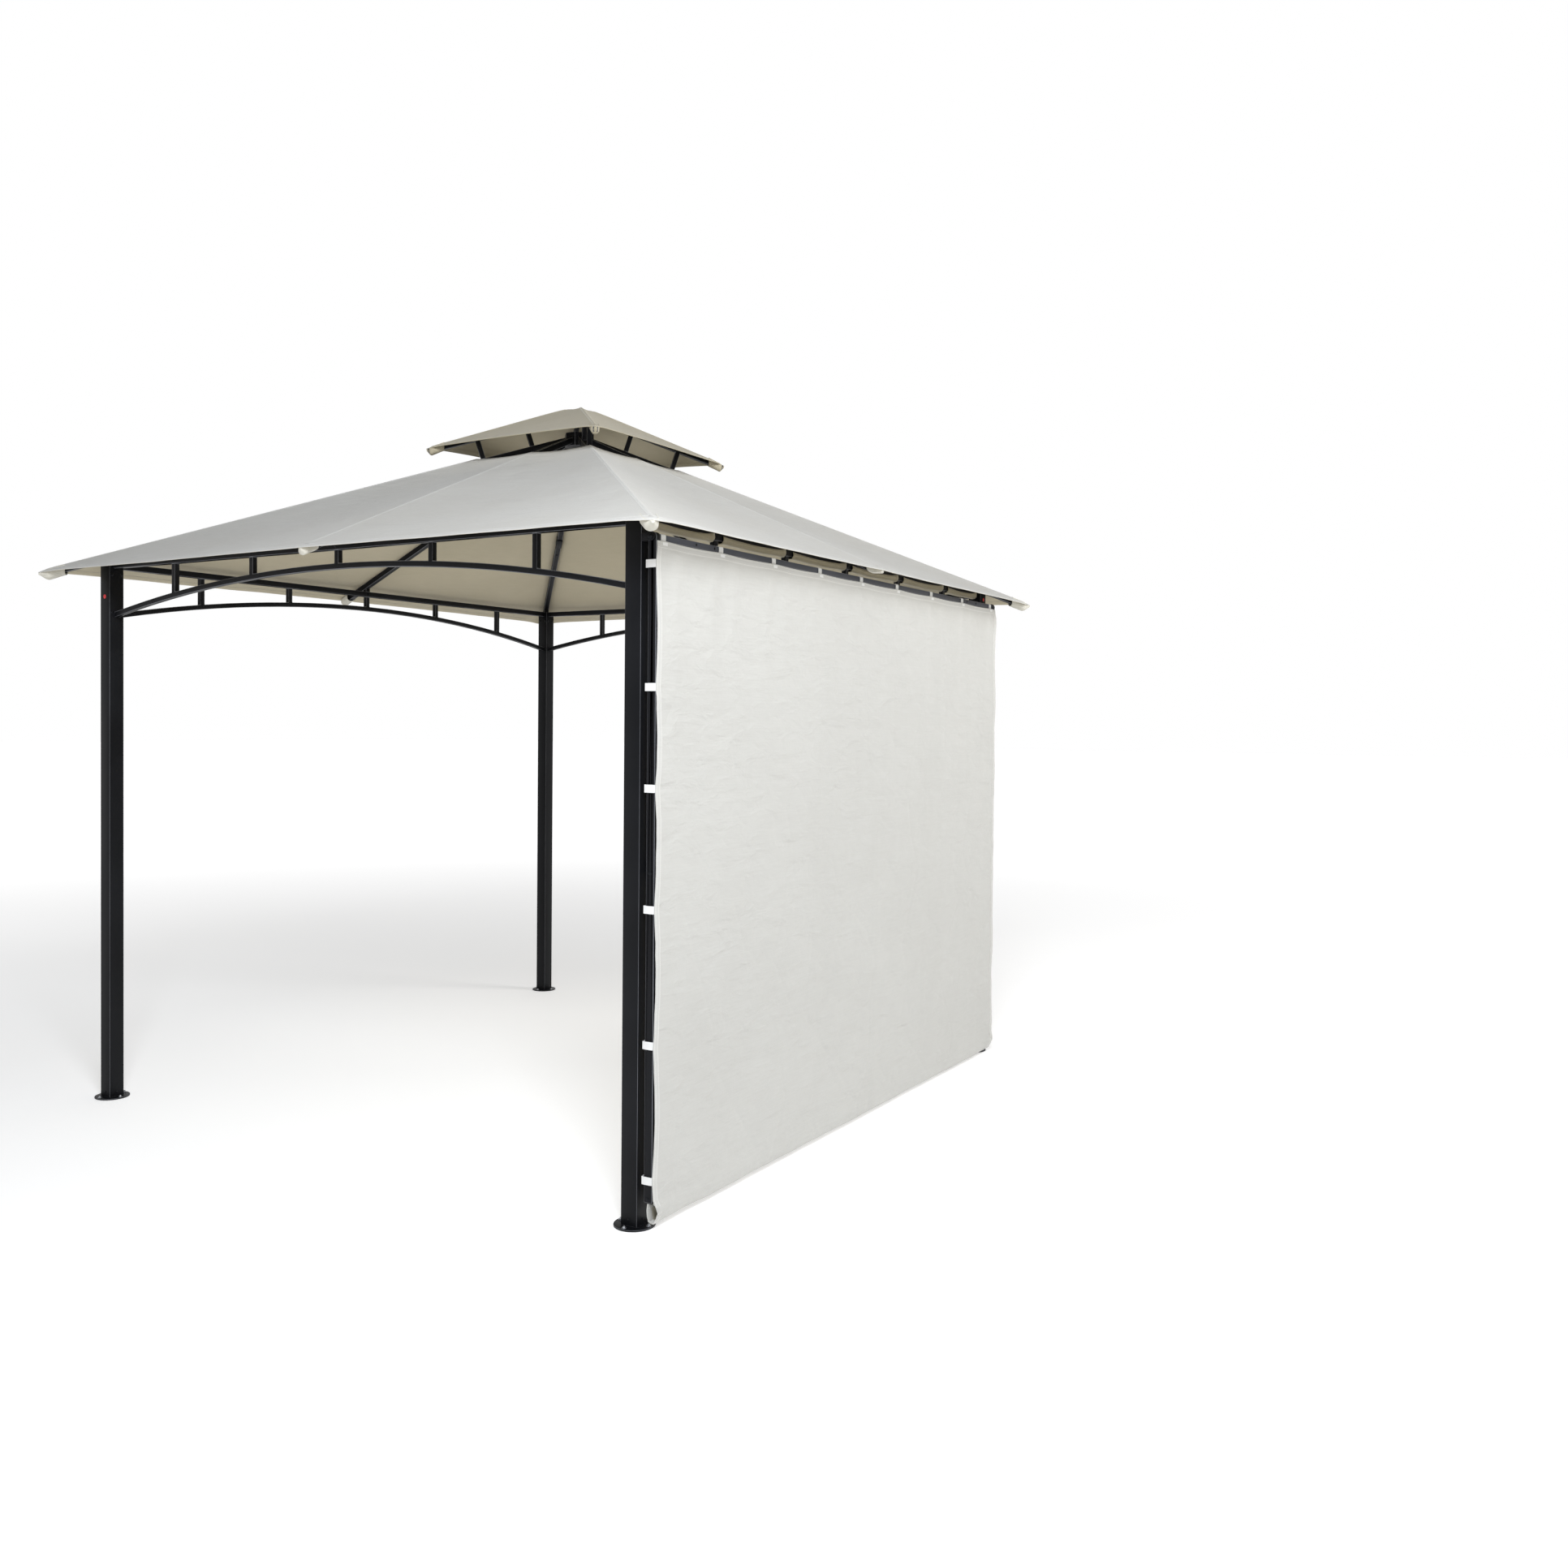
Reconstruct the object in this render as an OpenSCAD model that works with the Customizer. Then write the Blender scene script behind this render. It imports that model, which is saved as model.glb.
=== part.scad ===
// Garden pergola: four posts, arched beams, a two-tier fabric roof and one
// hinged awning panel that hangs as a side wall and swings up to horizontal.
// +Z is up, +X is the awning side, the origin is on the floor at the centre.

/* [Posts] */
// Distance between post centres
post_spacing = 2640; // [2200:10:3200]
// Outside size of the square post tube
post_size = 60; // [50:1:80]
// Wall of the post tube
post_wall = 2; // [1.5:0.5:3]
// Height of the post tops
post_h = 2160; // [1900:10:2500]
// Diameter of the round base plates
plate_d = 130; // [110:1:160]
// Thickness of the base plates
plate_t = 5; // [4:1:8]
// Radius of the anchor bolt holes
anchor_r = 4.5; // [4:0.5:5]
// Distance of the anchor holes from the post centre
anchor_pitch = 53; // [50:1:54]

/* [Beams] */
// Size of the beam's top bar
beam_bar = 25; // [20:1:30]
// Size of the arched bar and of the uprights
arch_bar = 20; // [15:1:24]
// Depth of the arch's ends below the post top
arch_end_drop = 210; // [180:5:260]
// Rise of the arch from its ends to mid span
arch_rise = 127; // [90:1:135]
// Spacing of the uprights, as a share of the post spacing
upright_share = 0.173; // [0.16:0.001:0.18]

/* [Roof] */
// Overhang of the lower roof beyond the post centres
overhang = 180; // [150:5:260]
// Height of the eaves at the corners, above the post top
eave_lift = -38; // [-45:1:-30]
// Rise of the roof for each unit of plan length
roof_slope = 0.45; // [0.4:0.01:0.5]
// How far the eaves curve in at mid side
eave_bow = 15; // [0:1:25]
// Half width of the opening at the top of the lower roof
vent_half = 310; // [260:5:360]
// Half width of the upper roof
top_half = 455; // [420:5:520]
// Height of the upper roof above the lower one
tier_gap = 102; // [90:1:140]
// Size of the lower rafter tubes
rafter = 25; // [20:1:30]
// Size of the upper rafter tubes
top_rafter = 20; // [15:1:22]
// Thickness of the roof cloth
cloth = 2; // [1:0.5:3]

/* [Awning] */
// Distance of the awning hinge from the post face
hinge_out = 35; // [32:1:45]
// Depth of the hinge below the post top
hinge_drop = 68; // [64:1:90]
// Height of the arms' lower ends above the floor
arm_foot = 85; // [80:1:300]
// Depth of the arm tube, across the panel
arm_d = 30; // [25:1:30]
// Width of the arm tube, along the panel
arm_w = 20; // [15:1:20]
// Size of the cross bars
bar = 20; // [15:1:22]
// Distance of the mid bar from the hinge
mid_at = 1010; // [900:1:1100]
// Loose flap of cloth below the end bar
flap = 65; // [40:1:70]

/* [Struts] */
// Depth of the strut pivot below the post top
strut_drop = 385; // [340:5:430]
// Distance of the strut's lug pin from the hinge, along the arm
lug_at = 977; // [880:1:985]
// Offset of the lug pin from the plane of the arms
lug_off = 42; // [38:1:50]
// Size of the outer strut tube
strut = 22; // [20:1:26]
// Size of the inner strut rod
rod = 16; // [14:1:18]
// Length of the outer tube from the pivot
strut_len = 600; // [560:1:610]
// Length of the inner rod
rod_len = 545; // [520:1:570]
// Distance of the strut's middle from the post's inner face
strut_in = 28; // [26:1:34]

/* [Hidden] */
$fn = 48;

big = 4000;
steel = [0.14, 0.145, 0.165];
cloth_top = [0.83, 0.83, 0.81];
cloth_side = [0.91, 0.90, 0.88];

// Posts and beams
half = post_spacing / 2;
inner = half - post_size / 2;
outer = half + post_size / 2;
post_bore = post_size - 2 * post_wall;
spigot_gap = 0.5;
spigot_h = 90;
spigot = post_bore - 2 * spigot_gap;
beam_z = post_h - beam_bar;
arch_z = post_h - arch_end_drop;
arch_r = (inner * inner + arch_rise * arch_rise) / (2 * arch_rise);
arch_mid_z = arch_z + arch_rise;
upright_x = upright_share * post_spacing;

// Roof planes: cloth top at plan distance x from the centre
eave = half + overhang;
eave_z = post_h + eave_lift;
apex_z = eave_z + eave * roof_slope;
top_apex_z = apex_z + tier_gap;
hip_slope = roof_slope / sqrt(2);
hip_pitch = atan(hip_slope);
side_pitch = atan(roof_slope);
cloth_gap = 1;
under_cloth = cloth + cloth_gap;
seam_gap = 0.5;
corner_azimuth = 225;
front_azimuth = -90;
octagon_turn = 22.5;
hub_r = 60;
hub_h = 58;
hub_sink = 8;
top_hub_r = 34;
top_hub_h = 22;
top_hub_sink = 20;
saddle_w = 40;
saddle_root = 1;
rafter_end = eave - 30;
// The awning side's rafter ends short, above the raised awning
rafter_end_right = eave - 58;
top_rafter_end = top_half - 22;
// The outer stubs stand just inside the corners of the roof opening
stub_at = [195, (vent_half - 5) * sqrt(2) - 1.5 * top_rafter];

// Awning
hinge_x = outer + hinge_out;
hinge_z = post_h - hinge_drop;
arm_len = hinge_z - arm_foot;
pin_r = 5;
pin_fit = 0.05;
pin_inset = 4;
pin_end = 6;
cheek_t = 4;
cheek_r = 12;
arm_gap = 4;
arm_y = outer - cheek_t - arm_gap - arm_w / 2;
rail_half = arm_y - arm_w / 2;
pin_y = rail_half + pin_inset;
panel_gap = 0.5;
panel_x = hinge_x + arm_d / 2 + panel_gap;
panel_half = arm_y + arm_w / 4;
panel_top = hinge_z - bar / 2 - 2;
panel_foot = arm_foot - flap;

// Struts
strut_y = inner - strut_in;
strut_x = hinge_x - lug_off;
strut_z = post_h - strut_drop;
strut_pin_r = 4;
rod_end_z = hinge_z - lug_at;
rod_slack = 0.5;
strut_plug = 60;
spacer_r = 9;
head_r = 7;
head_h = 4;
pivot_gap = 1;
lug_gap = 6;
lug_t = 3;
lug_r = 12;
lug_half = rod / 2 + lug_gap + lug_t;
lug_foot = hinge_z - mid_at - bar / 2;
lug_h = rod_end_z + lug_r - lug_foot;

// Height of the lower roof's cloth at a plan distance from the centre
function roof_z(x) = apex_z - x * roof_slope;

// Depth of a hip tube's top below the ridge, where the cloth falls away to both sides
function hip_drop(size) = under_cloth + size / 2 * hip_slope;

// Turns a front-left piece to the corner or side with number k
module turned(k) { rotate([0, 0, 90 * k]) children(); }

// Mirrors a front piece to the rear, for s = 1
module side(s) { mirror([0, s > 0 ? 1 : 0, 0]) children(); }

// Sloping frame of a rafter: X runs down the slope, Z is the cloth's normal
module slope_frame(azimuth, pitch, z) {
  translate([0, 0, z]) rotate([0, 0, azimuth]) rotate([0, pitch, 0]) children();
}

// Square tube under the cloth, from the hub to a plan distance
module rafter_bar(azimuth, pitch, drop, plan_end) {
  difference() {
    slope_frame(azimuth, pitch, apex_z)
      translate([0, -rafter / 2, -drop * cos(pitch) - rafter])
        cube([plan_end / cos(pitch), rafter, rafter]);
    octagon(hub_r, big, big);
  }
}

// Eight-sided hub, measured across its flats
module octagon(radius, top, height) {
  translate([0, 0, top - height]) rotate([0, 0, octagon_turn])
    cylinder(r = radius / cos(octagon_turn), h = height, $fn = 8);
}

// Everything above the bottom plane of a lower rafter, which cuts its saddle
module above_rafter(azimuth, pitch, drop) {
  slope_frame(azimuth, pitch, apex_z)
    translate([0, -big / 2, -drop * cos(pitch) - rafter]) cube([big, big, big]);
}

// One thin sheet over four plan points, with its top on the lower roof's plane
module sheet(points, lift) {
  n = len(points);
  tops = [for (p = points) [p[0], p[1], roof_z(p[0]) + lift]];
  feet = [for (p = tops) [p[0], p[1], p[2] - cloth]];
  polyhedron(
    points = concat(feet, tops),
    faces = concat(
      [[for (i = [0 : n - 1]) i], [for (i = [n - 1 : -1 : 0]) n + i]],
      [for (i = [0 : n - 1]) [i, n + i, n + (i + 1) % n, (i + 1) % n]]));
}

// Corner pieces, drawn at the front left
module post_piece() {
  color(steel) difference() {
    translate([-half, -half, 0]) difference() {
      union() {
        translate([-post_size / 2, -post_size / 2, plate_t])
          cube([post_size, post_size, post_h - plate_t]);
        translate([0, 0, post_h - saddle_root]) rotate([0, 0, 45])
          translate([-saddle_w / 2, -rafter / 2, 0]) cube([saddle_w, rafter, saddle_w]);
      }
      translate([-post_bore / 2, -post_bore / 2, -1])
        cube([post_bore, post_bore, post_h - post_wall + 1]);
    }
    above_rafter(corner_azimuth, hip_pitch, hip_drop(rafter));
  }
}

module plate_piece() {
  color(steel) translate([-half, -half, 0]) difference() {
    union() {
      cylinder(d = plate_d, h = plate_t, $fn = 96);
      translate([-spigot / 2, -spigot / 2, 0]) cube([spigot, spigot, plate_t + spigot_h]);
    }
    translate([-spigot / 2 + post_wall, -spigot / 2 + post_wall, plate_t])
      cube([spigot - 2 * post_wall, spigot - 2 * post_wall, spigot_h + 1]);
    for (a = [0 : 90 : 270]) rotate([0, 0, a])
      translate([anchor_pitch, 0, -1]) cylinder(r = anchor_r, h = plate_t + 2);
  }
}

module hip_piece() {
  color(steel) rafter_bar(corner_azimuth, hip_pitch, hip_drop(rafter), rafter_end * sqrt(2));
}

// Upper rafter and its two stubs, standing on the lower hip rafter
module top_hip_piece() {
  top = (tier_gap - hip_drop(top_rafter)) * cos(hip_pitch);
  foot = -hip_drop(rafter) * cos(hip_pitch);
  color(steel) difference() {
    slope_frame(corner_azimuth, hip_pitch, apex_z) union() {
      translate([0, -top_rafter / 2, top - top_rafter])
        cube([top_rafter_end * sqrt(2) / cos(hip_pitch), top_rafter, top_rafter]);
      for (d = stub_at) translate([d / cos(hip_pitch), -top_rafter / 2, foot])
        cube([top_rafter, top_rafter, top - foot - top_rafter / 2]);
    }
    octagon(top_hub_r, big, big);
  }
}

// Side pieces, drawn at the front
module beam_piece() {
  color(steel) {
    translate([-inner, -half - beam_bar / 2, beam_z]) cube([2 * inner, beam_bar, beam_bar]);
    intersection() {
      translate([-inner, -half - arch_bar / 2, arch_z - arch_bar])
        cube([2 * inner, arch_bar, arch_end_drop]);
      translate([0, -half + arch_bar / 2, arch_mid_z - arch_r]) rotate([90, 0, 0]) difference() {
        cylinder(r = arch_r + arch_bar / 2, h = arch_bar, $fn = 360);
        translate([0, 0, -1]) cylinder(r = arch_r - arch_bar / 2, h = arch_bar + 2, $fn = 360);
      }
    }
    for (k = [-2 : 2]) {
      x = k * upright_x;
      foot = arch_mid_z - arch_r + sqrt(arch_r * arch_r - x * x);
      translate([x - arch_bar / 2, -half - arch_bar / 2, foot])
        cube([arch_bar, arch_bar, beam_z - foot + 1]);
    }
    difference() {
      translate([-rafter / 2, -half - saddle_w / 4, post_h - saddle_root])
        cube([rafter, saddle_w / 2, saddle_w]);
      above_rafter(front_azimuth, side_pitch, under_cloth);
    }
  }
}

module rafter_piece(plan_end) {
  color(steel) rafter_bar(front_azimuth, side_pitch, under_cloth, plan_end);
}

module crown_hub() { color(steel) octagon(hub_r, apex_z - hub_sink, hub_h); }

module top_hub() { color(steel) octagon(top_hub_r, top_apex_z - top_hub_sink, top_hub_h); }

module lower_canopy() {
  g = seam_gap;
  for (k = [0 : 3]) turned(k) color(cloth_top) {
    sheet([[vent_half, g], [eave - eave_bow, g], [eave, eave - g], [vent_half, vent_half - g]], 0);
    sheet([[vent_half, -vent_half + g], [eave, -eave + g], [eave - eave_bow, -g], [vent_half, -g]], 0);
  }
}

module upper_canopy() {
  g = seam_gap;
  for (k = [0 : 3]) turned(k) color(cloth_top)
    sheet([[2 * g, 0], [top_half, -top_half + 2 * g], [top_half, top_half - 2 * g]], tier_gap);
}

// Cheek plate and pin that carry one arm, drawn at the front
module hinge_piece() {
  color(steel) {
    translate([outer, -outer, hinge_z - cheek_r]) cube([cheek_t, post_size, 2 * cheek_r]);
    translate([outer, -outer, hinge_z - cheek_r]) cube([hinge_out, cheek_t, 2 * cheek_r]);
    translate([hinge_x, -outer + cheek_t, hinge_z]) rotate([90, 0, 0])
      cylinder(r = cheek_r, h = cheek_t);
    translate([hinge_x, -pin_y, hinge_z]) rotate([90, 0, 0])
      cylinder(r = pin_r, h = outer - pin_y + pin_end);
  }
}

// Spacer, pin and head that carry one strut tube
module strut_pivot_piece() {
  head_z = strut_in + strut / 2 + pivot_gap;
  color(steel) translate([strut_x, -inner, strut_z]) rotate([-90, 0, 0]) {
    cylinder(r = spacer_r, h = strut_in - strut / 2 - pivot_gap);
    cylinder(r = strut_pin_r, h = head_z);
    translate([0, 0, head_z]) cylinder(r = head_r, h = head_h);
  }
}

module arm_piece() {
  color(steel) translate([hinge_x, -arm_y, hinge_z]) difference() {
    union() {
      translate([-arm_d / 2, -arm_w / 2, -arm_len]) cube([arm_d, arm_w, arm_len]);
      translate([0, arm_w / 2, 0]) rotate([90, 0, 0]) cylinder(d = arm_d, h = arm_w);
    }
    translate([0, arm_w, 0]) rotate([90, 0, 0]) cylinder(r = pin_r + pin_fit, h = 2 * arm_w);
  }
}

// Cross bar between the arms, at a distance below the hinge
module cross_bar(depth, drop) {
  color(steel) translate([hinge_x - depth / 2, -rail_half, hinge_z - drop - bar / 2])
    cube([depth, 2 * rail_half, bar]);
}

module awning_rail() { cross_bar(bar, 0); }

module awning_mid_bar() { cross_bar(bar, mid_at); }

module awning_end_bar() { cross_bar(arm_d, arm_len - bar / 2); }

module awning_cloth() {
  color(cloth_side) translate([panel_x, -panel_half, panel_foot])
    cube([cloth, 2 * panel_half, panel_top - panel_foot]);
}

// Fork on the mid bar that takes the end of one strut rod
module lug_piece() {
  color(steel) translate([strut_x, -strut_y, 0]) {
    for (y = [-lug_half, lug_half - lug_t]) translate([0, y, 0]) {
      translate([0, lug_t, rod_end_z]) rotate([90, 0, 0]) cylinder(r = lug_r, h = lug_t);
      translate([0, 0, lug_foot]) cube([lug_off - bar / 2, lug_t, lug_h]);
    }
    translate([lug_off - bar / 2 - lug_t, -lug_half, lug_foot])
      cube([lug_t, 2 * lug_half, lug_h]);
  }
}

module strut_tube_piece() {
  color(steel) translate([strut_x, -strut_y, strut_z]) difference() {
    union() {
      translate([-strut / 2, -strut / 2, -strut_len]) cube([strut, strut, strut_len]);
      translate([0, strut / 2, 0]) rotate([90, 0, 0]) cylinder(d = strut, h = strut);
    }
    translate([-rod / 2 - rod_slack, -rod / 2 - rod_slack, -strut_len - 1])
      cube([rod + 2 * rod_slack, rod + 2 * rod_slack, strut_len - strut_plug + 1]);
    translate([0, strut, 0]) rotate([90, 0, 0]) cylinder(r = strut_pin_r + pin_fit, h = 2 * strut);
  }
}

module strut_rod_piece() {
  color(steel) translate([strut_x, -strut_y, rod_end_z]) {
    translate([-rod / 2, -rod / 2, 0]) cube([rod, rod, rod_len]);
    translate([0, rod / 2, 0]) rotate([90, 0, 0]) cylinder(d = rod, h = rod);
  }
}

turned(0) post_piece();  // post_front_left
turned(1) post_piece();  // post_front_right
turned(2) post_piece();  // post_rear_right
turned(3) post_piece();  // post_rear_left
turned(0) plate_piece();  // plate_front_left
turned(1) plate_piece();  // plate_front_right
turned(2) plate_piece();  // plate_rear_right
turned(3) plate_piece();  // plate_rear_left
turned(0) beam_piece();  // beam_front
turned(1) beam_piece();  // beam_right
turned(2) beam_piece();  // beam_rear
turned(3) beam_piece();  // beam_left
turned(0) hip_piece();  // hip_front_left
turned(1) hip_piece();  // hip_front_right
turned(2) hip_piece();  // hip_rear_right
turned(3) hip_piece();  // hip_rear_left
turned(0) rafter_piece(rafter_end);  // rafter_front
turned(1) rafter_piece(rafter_end_right);  // rafter_right
turned(2) rafter_piece(rafter_end);  // rafter_rear
turned(3) rafter_piece(rafter_end);  // rafter_left
crown_hub();
turned(0) top_hip_piece();  // top_hip_front_left
turned(1) top_hip_piece();  // top_hip_front_right
turned(2) top_hip_piece();  // top_hip_rear_right
turned(3) top_hip_piece();  // top_hip_rear_left
top_hub();
lower_canopy();
upper_canopy();
side(0) hinge_piece();  // hinge_front
side(1) hinge_piece();  // hinge_rear
side(0) strut_pivot_piece();  // strut_pivot_front
side(1) strut_pivot_piece();  // strut_pivot_rear
side(0) arm_piece();  // awning_arm_front
side(1) arm_piece();  // awning_arm_rear
awning_rail();
awning_mid_bar();
awning_end_bar();
awning_cloth();
side(0) lug_piece();  // awning_lug_front
side(1) lug_piece();  // awning_lug_rear
side(0) strut_tube_piece();  // strut_tube_front
side(1) strut_tube_piece();  // strut_tube_rear
side(0) strut_rod_piece();  // strut_rod_front
side(1) strut_rod_piece();  // strut_rod_rear
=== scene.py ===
"""Garden pergola with a two-tier cloth roof and one hinged cloth side that swings up as an awning.

The steel frame is the CAD model with bevelled edges and painted-metal materials. The script adds the
cloth, hems, pockets, webbing tabs and the small hardware, all placed from the frame's own boxes.
"""

import math

import bpy
from mathutils import Matrix, Vector, noise


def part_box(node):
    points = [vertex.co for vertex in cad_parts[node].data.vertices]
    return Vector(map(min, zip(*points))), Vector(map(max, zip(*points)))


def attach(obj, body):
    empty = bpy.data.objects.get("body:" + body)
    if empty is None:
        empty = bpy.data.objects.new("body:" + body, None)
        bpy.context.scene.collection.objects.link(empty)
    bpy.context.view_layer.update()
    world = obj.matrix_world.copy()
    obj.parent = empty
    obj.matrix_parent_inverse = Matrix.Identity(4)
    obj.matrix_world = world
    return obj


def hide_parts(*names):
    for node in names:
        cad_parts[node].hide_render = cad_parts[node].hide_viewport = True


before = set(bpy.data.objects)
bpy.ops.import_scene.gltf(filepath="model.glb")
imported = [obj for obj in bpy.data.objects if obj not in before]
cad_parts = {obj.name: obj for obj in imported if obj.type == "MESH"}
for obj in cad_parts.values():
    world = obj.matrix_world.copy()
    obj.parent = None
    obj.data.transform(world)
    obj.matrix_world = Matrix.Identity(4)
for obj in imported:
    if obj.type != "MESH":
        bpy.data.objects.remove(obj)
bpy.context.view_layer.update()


# ---------------------------------------------------------------- sizes taken from the frame, in metres

def centre(node):
    low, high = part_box(node)
    return (low + high) / 2


post_low, post_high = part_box("post_front_right")
POST = centre("post_front_right").x  # posts stand at plus and minus this in X and Y
POST_HALF = (post_high.x - post_low.x) / 2
post_points = [v.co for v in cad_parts["post_front_right"].data.vertices]
POST_TOP = max(p.z for p in post_points if p.x > post_high.x - 0.0001)

roof_low, roof_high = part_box("lower_canopy")
CAD_CLOTH = 0.002
EAVE = roof_high.x
VENT = min(max(abs(v.co.x), abs(v.co.y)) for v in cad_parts["lower_canopy"].data.vertices)
EAVE_Z = roof_low.z + CAD_CLOTH
SLOPE = (roof_high.z - EAVE_Z) / (EAVE - VENT)
APEX = EAVE_Z + SLOPE * EAVE

top_low, top_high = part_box("upper_canopy")
TOP_HALF = top_high.x
TOP_APEX = top_low.z + CAD_CLOTH + SLOPE * TOP_HALF

rail_low, rail_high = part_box("awning_rail")
mid_low, mid_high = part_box("awning_mid_bar")
end_low, end_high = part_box("awning_end_bar")
arm_low, arm_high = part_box("awning_arm_front")
panel_low, panel_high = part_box("awning_cloth")
HINGE_Z = centre("awning_rail").z
HINGE_X = centre("awning_rail").x
ARM_Y = -centre("awning_arm_front").y
ARM_HALF = (arm_high.y - arm_low.y) / 2
ARM_FOOT = arm_low.z

ABOVE_AWNING = 2.1152  # the pocket over the awning ends this high, clear of the raised cloth

# Cloth and sewing
CLOTH = 0.0012
HEM = 0.026
SEAM_HALF = 0.012
TAB_WIDTH = 0.024
TAB_THICK = 0.0014
EAVE_BOW = 0.015  # how far the eaves curve in at mid side
TOP_BOW = 0.026
TOP_RISE = 0.0190  # the cloth is drawn up this much over a round cap on the top hub
CAP_R = 0.040
ROOF_FOLDS = (1.02, 1.31, 0.70)  # distances of the packing creases from the middle
RAIL_TABS = (-1.302, -0.987, -0.659, -0.335, -0.009, 0.303, 0.634, 0.964, 1.290)
ARM_TABS = (0.08, 0.45, 0.755, 1.12, 1.53, 1.94)  # distances from the hinge
SIDES = range(4)  # front, right, rear and left


def on_side(side, lateral, out, z):
    """A point given along and out from one side of the roof, turned into the frame's own axes."""
    x, y = lateral, -out
    for _ in range(side):
        x, y = -y, x
    return Vector((x, y, z))


def wobble(x, y, z):
    """Smooth noise between about -1 and 1, the same in each run."""
    return noise.noise(Vector((x, y, z)))


def smooth(x, low=0.0, high=1.0):
    t = min(1.0, max(0.0, (x - low) / (high - low)))
    return t * t * (3 - 2 * t)


# ---------------------------------------------------------------- materials

def feed(tree, node, inputs):
    """Sets a node's inputs from (socket, value or output socket) pairs."""
    for socket, value in inputs:
        if isinstance(value, bpy.types.NodeSocket):
            tree.links.new(value, node.inputs[socket])
        else:
            node.inputs[socket].default_value = value


def add(tree, kind, inputs=(), **settings):
    """Adds a node with its settings and inputs."""
    node = tree.nodes.new(kind)
    for key, value in settings.items():
        setattr(node, key, value)
    feed(tree, node, inputs)
    return node


def material(name):
    """A new node material, its shader, its tree and the object's own coordinates."""
    m = bpy.data.materials.new(name)
    m.use_nodes = True
    tree = m.node_tree
    return m, tree.nodes["Principled BSDF"], tree, add(tree, "ShaderNodeTexCoord").outputs["Object"]


def maths(tree, operation, *values):
    return add(tree, "ShaderNodeMath", enumerate(values), operation=operation).outputs[0]


def clouds(tree, place, scale, detail, more=()):
    """A noise texture's value."""
    inputs = [("Vector", place), ("Scale", scale), ("Detail", detail), *more]
    return add(tree, "ShaderNodeTexNoise", inputs).outputs["Fac"]


def bump(tree, height, strength, distance, more=()):
    inputs = [("Height", height), ("Strength", strength), ("Distance", distance), *more]
    return add(tree, "ShaderNodeBump", inputs).outputs[0]


def ramp(tree, factor, stops):
    """A colour from a ramp through (position, colour) stops."""
    node = add(tree, "ShaderNodeValToRGB", [("Fac", factor)])
    while len(node.color_ramp.elements) < len(stops):
        node.color_ramp.elements.new(0.5)
    for element, (position, colour) in zip(node.color_ramp.elements, stops):
        element.position = position
        element.color = (*colour, 1.0)
    return node.outputs["Color"]


def scaled(colour, k):
    return tuple(c * k for c in colour)


def mix_colour(tree, factor, a, b, mode="MIX"):
    """Mixes two colours, each a socket or three numbers."""
    a, b = (c if isinstance(c, bpy.types.NodeSocket) else (*c, 1.0) for c in (a, b))
    node = add(tree, "ShaderNodeMix", [(0, factor), (6, a), (7, b)], data_type="RGBA", blend_type=mode)
    return node.outputs[2]


BLACK, WHITE = (0, 0, 0), (1, 1, 1)


def painted_steel(name, colour, rough=0.42, grain=1.0):
    """Powder-coated steel: a fine orange peel, faint dust in soft patches and small rubs."""
    m, shader, tree, place = material(name)
    patches = clouds(tree, place, 3.1, 5.0)
    peel = clouds(tree, place, 620.0, 2.0)
    specks = clouds(tree, place, 95.0, 6.0)
    dust = ramp(tree, patches, [(0.40, scaled(colour, 0.86)), (0.68, scaled(colour, 1.28))])
    worn = ramp(tree, specks, [(0.70, BLACK), (0.80, WHITE)])
    rub = maths(tree, "MULTIPLY", worn, 0.10)
    gloss = add(tree, "ShaderNodeMapRange", [("Value", patches), ("From Min", 0.3), ("From Max", 0.7),
                                             ("To Min", rough - 0.06), ("To Max", rough + 0.08)])
    feed(tree, shader, [("Base Color", mix_colour(tree, rub, dust, scaled(colour, 3.2))),
                        ("Roughness", gloss.outputs[0]),
                        ("Normal", bump(tree, peel, 0.10 * grain, 0.0006)),
                        ("Metallic", 0.0), ("Specular IOR Level", 0.12)])
    return m


def zinc(name, colour=(0.42, 0.43, 0.45), rough=0.34):
    """Galvanised or plated metal, with faint spangle."""
    m, shader, tree, place = material(name)
    spangle = add(tree, "ShaderNodeTexVoronoi", [("Vector", place), ("Scale", 240.0)])
    stops = [(0.0, scaled(colour, 0.8)), (0.6, scaled(colour, 1.15))]
    feed(tree, shader, [("Base Color", ramp(tree, spangle.outputs["Distance"], stops)),
                        ("Metallic", 0.9), ("Roughness", rough)])
    return m


def plastic(name, colour, rough=0.5):
    """Moulded plastic with a fine spark-eroded grain."""
    m, shader, tree, place = material(name)
    grain = clouds(tree, place, 900.0, 3.0)
    tone = ramp(tree, grain, [(0.3, scaled(colour, 0.92)), (0.7, scaled(colour, 1.08))])
    feed(tree, shader, [("Base Color", tone), ("Normal", bump(tree, grain, 0.15, 0.0003)),
                        ("Roughness", rough)])
    return m


def weave(tree, place, pitch):
    """Height of a plain weave: warp and weft waves that take turns on top."""
    inputs = [("Vector", place), ("Scale", 0.32 / pitch), ("Distortion", 0.35), ("Detail", 1.0)]
    waves = [add(tree, "ShaderNodeTexWave", inputs, wave_type="BANDS", bands_direction=axis).outputs["Fac"]
             for axis in "XYZ"]
    return maths(tree, "ADD", maths(tree, "MULTIPLY", waves[0], waves[1]), waves[2])


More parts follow.
